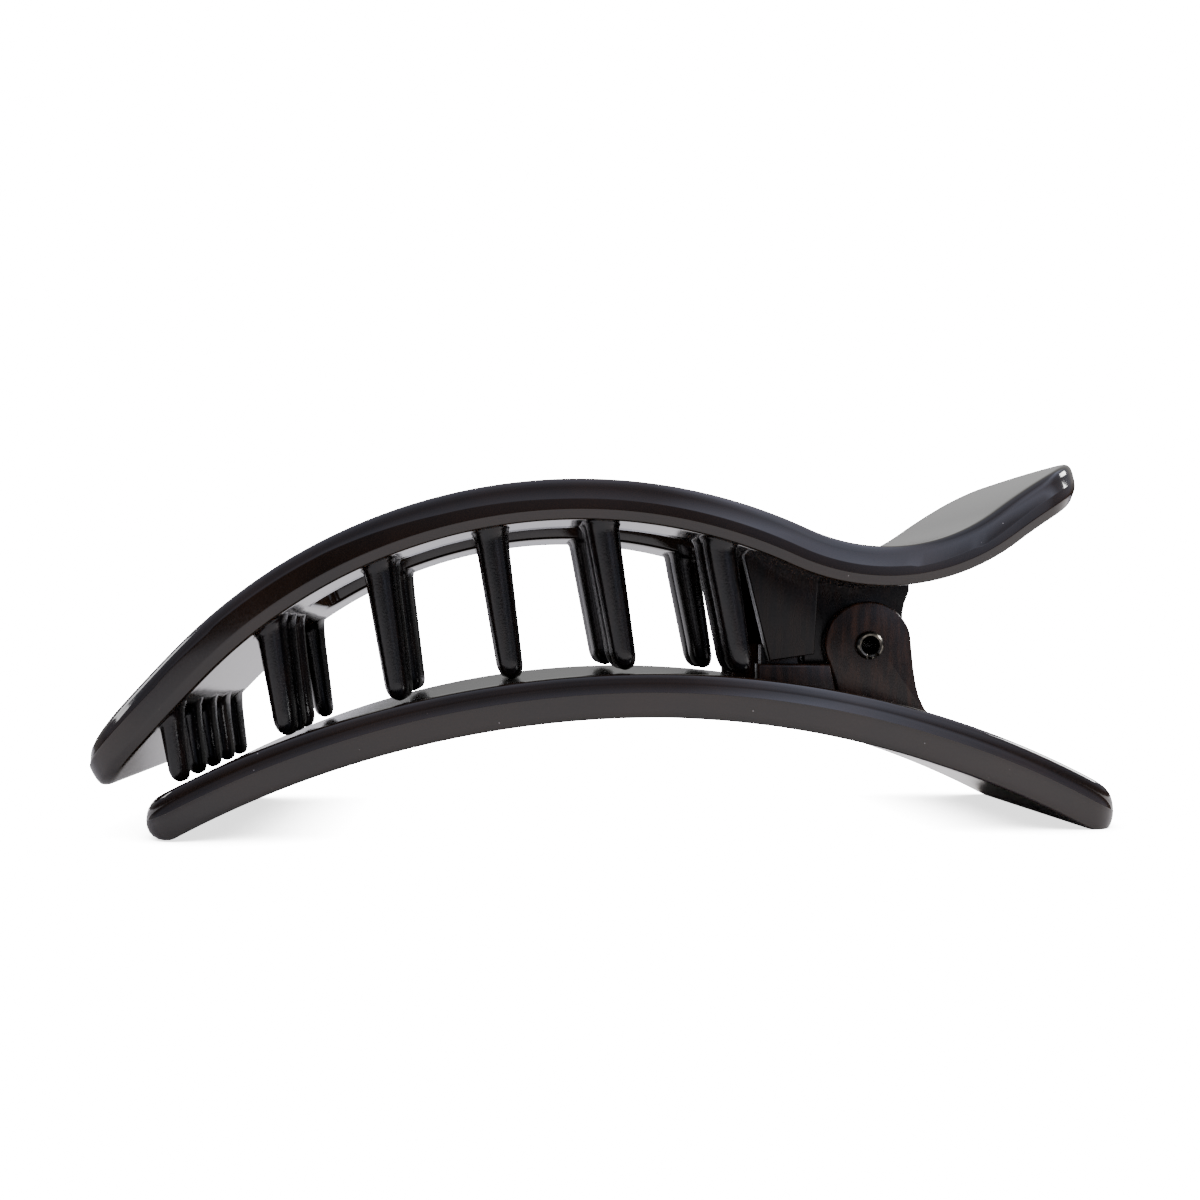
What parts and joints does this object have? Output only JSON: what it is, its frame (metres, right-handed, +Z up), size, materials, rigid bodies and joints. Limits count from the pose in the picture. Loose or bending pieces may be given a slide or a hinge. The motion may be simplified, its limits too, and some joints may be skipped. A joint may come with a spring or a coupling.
{
  "type": "flat hair clip",
  "caption": "Flat claw hair clip: a wave-shaped upper jaw with a window, tooth rows and a thumb tab, hinged and sprung over a plain arched lower jaw.",
  "frame": {"origin": "centre of the clip's bounding box at the height of the surface it stands on", "axes": "+X along the clip from the tip to the thumb tab, +Y across the clip, +Z up, with the clip standing on the two ends of its lower jaw"},
  "size_m": [0.1166, 0.041, 0.0427],
  "materials": {
    "black_plastic": "high gloss, black",
    "dark_brass": "darkened, semi-gloss",
    "spring_steel": "drawn wire, satin"
  },
  "bodies": {
    "lower": {"lower_jaw": "black_plastic", "rivet": "dark_brass", "spring": "spring_steel"},
    "upper": {"upper_jaw": "black_plastic"}
  },
  "joints": [
    {"name": "hinge", "type": "hinge", "parent": "lower", "child": "upper", "pos_m": [0.0295, 0, 0.021], "axis": [0, 1, 0], "range_deg": [0, 40], "stiffness_Nm_per_rad": 0.25, "springref_deg": -34.38, "deforming": ["spring"]}
  ]
}
